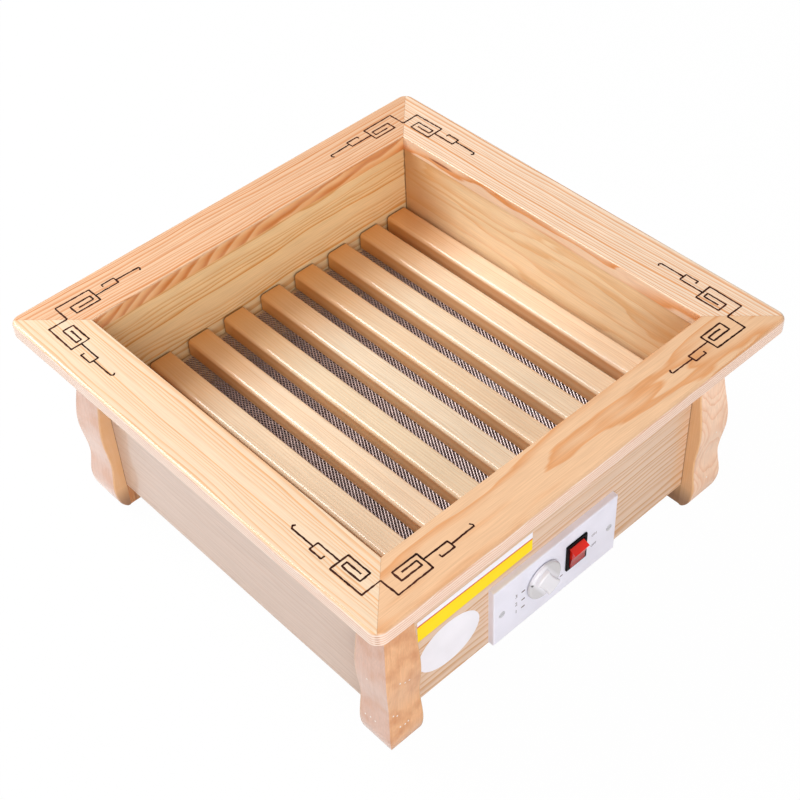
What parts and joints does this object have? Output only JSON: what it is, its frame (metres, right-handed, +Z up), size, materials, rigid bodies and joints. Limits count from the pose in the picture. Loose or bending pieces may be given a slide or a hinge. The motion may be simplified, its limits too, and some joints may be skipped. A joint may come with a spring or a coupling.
{
  "type": "foot warmer",
  "caption": "Square wooden electric foot warmer: an open slatted well in a wide mitred frame on swelling corner legs, with a dial and a rocker switch on the front wall.",
  "frame": {"origin": "on the ground under the middle of the box", "axes": "+Z up, -Y towards the front wall with the controls, +X to the right seen from the front"},
  "size_m": [0.45, 0.45, 0.212],
  "materials": {
    "base_board": "plain plywood",
    "bracket_screws": "zinc plated",
    "bush_nut": "plated",
    "control_plate": "moulded white plastic",
    "corner_post_back_left": "plain planed pine",
    "corner_post_back_right": "plain planed pine",
    "corner_post_front_left": "plain planed pine",
    "corner_post_front_right": "plain planed pine",
    "dial_knob": "moulded white plastic",
    "dial_shaft": "turned",
    "grate_batten_back": "plain planed pine",
    "grate_batten_front": "plain planed pine",
    "grate_rail_back": "plain planed pine",
    "grate_rail_front": "plain planed pine",
    "guard_mesh": "expanded steel mesh",
    "heat_shield": "galvanised sheet",
    "heating_coil": "oxidised resistance wire",
    "heating_tube": "milky quartz",
    "leg_back_left_back_board": "satin varnished pine",
    "leg_back_left_left_board": "satin varnished pine",
    "leg_back_right_back_board": "satin varnished pine",
    "leg_back_right_right_board": "satin varnished pine",
    "leg_blocks": "plain planed pine",
    "leg_front_left_front_board": "satin varnished pine",
    "leg_front_left_left_board": "satin varnished pine",
    "leg_front_right_front_board": "satin varnished pine",
    "leg_front_right_right_board": "satin varnished pine",
    "plate_screws": "zinc plated",
    "post_screws": "zinc plated",
    "reflector_tray": "bright sheet",
    "regulator": "black moulding",
    "slat_1": "satin varnished pine",
    "slat_2": "satin varnished pine",
    "slat_3": "satin varnished pine",
    "slat_4": "satin varnished pine",
    "slat_5": "satin varnished pine",
    "slat_6": "satin varnished pine",
    "slat_7": "satin varnished pine",
    "slat_8": "satin varnished pine",
    "slat_9": "satin varnished pine",
    "switch_housing": "black moulding",
    "switch_rocker": "red see-through moulding",
    "switch_terminals": "plain",
    "terminal_block": "white nylon",
    "thermal_cutout": "black phenolic",
    "top_board_back": "satin varnished pine",
    "top_board_front": "satin varnished pine",
    "top_board_left": "satin varnished pine",
    "top_board_right": "satin varnished pine",
    "tray_screws": "zinc plated",
    "tray_standoffs": "zinc plated",
    "tube_bracket": "galvanised sheet",
    "tube_caps": "glazed white ceramic",
    "wall_back": "satin varnished pine",
    "wall_front": "satin varnished pine",
    "wall_left": "satin varnished pine",
    "wall_right": "satin varnished pine"
  },
  "bodies": {
    "box": {"base_board": "base_board", "bracket_screws": "bracket_screws", "bush_nut": "bush_nut", "control_plate": "control_plate", "corner_post_back_left": "corner_post_back_left", "corner_post_back_right": "corner_post_back_right", "corner_post_front_left": "corner_post_front_left", "corner_post_front_right": "corner_post_front_right", "grate_rail_back": "grate_rail_back", "grate_rail_front": "grate_rail_front", "heat_shield": "heat_shield", "heating_coil_back": "heating_coil", "heating_coil_front": "heating_coil", "heating_tube_back": "heating_tube", "heating_tube_front": "heating_tube", "leg_back_left_back_board": "leg_back_left_back_board", "leg_back_left_left_board": "leg_back_left_left_board", "leg_back_right_back_board": "leg_back_right_back_board", "leg_back_right_right_board": "leg_back_right_right_board", "leg_blocks": "leg_blocks", "leg_front_left_front_board": "leg_front_left_front_board", "leg_front_left_left_board": "leg_front_left_left_board", "leg_front_right_front_board": "leg_front_right_front_board", "leg_front_right_right_board": "leg_front_right_right_board", "plate_screws": "plate_screws", "post_screws": "post_screws", "reflector_tray": "reflector_tray", "regulator": "regulator", "switch_housing": "switch_housing", "switch_terminals": "switch_terminals", "terminal_block": "terminal_block", "thermal_cutout": "thermal_cutout", "top_board_back": "top_board_back", "top_board_front": "top_board_front", "top_board_left": "top_board_left", "top_board_right": "top_board_right", "tray_screws": "tray_screws", "tray_standoffs": "tray_standoffs", "tube_bracket_left": "tube_bracket", "tube_bracket_right": "tube_bracket", "tube_caps": "tube_caps", "wall_back": "wall_back", "wall_front": "wall_front", "wall_left": "wall_left", "wall_right": "wall_right"},
    "grate": {"grate_batten_back": "grate_batten_back", "grate_batten_front": "grate_batten_front", "slat_1": "slat_1", "slat_2": "slat_2", "slat_3": "slat_3", "slat_4": "slat_4", "slat_5": "slat_5", "slat_6": "slat_6", "slat_7": "slat_7", "slat_8": "slat_8", "slat_9": "slat_9", "guard_mesh": "guard_mesh"},
    "dial": {"dial_knob": "dial_knob", "dial_shaft": "dial_shaft"},
    "rocker": {"switch_rocker": "switch_rocker"}
  },
  "joints": [
    {"name": "grate_lift", "type": "slide", "parent": "box", "child": "grate", "axis": [0, 0, 1], "range_m": [0, 0.13]},
    {"name": "dial_turn", "type": "hinge", "parent": "box", "child": "dial", "pos_m": [-0.023, -0.1923, 0.06635], "axis": [0, -1, 0], "range_deg": [-150, 120]},
    {"name": "rocker_tilt", "type": "hinge", "parent": "box", "child": "rocker", "pos_m": [0.01635, -0.187, 0.06655], "axis": [1, 0, 0], "range_deg": [-28, 0]}
  ]
}
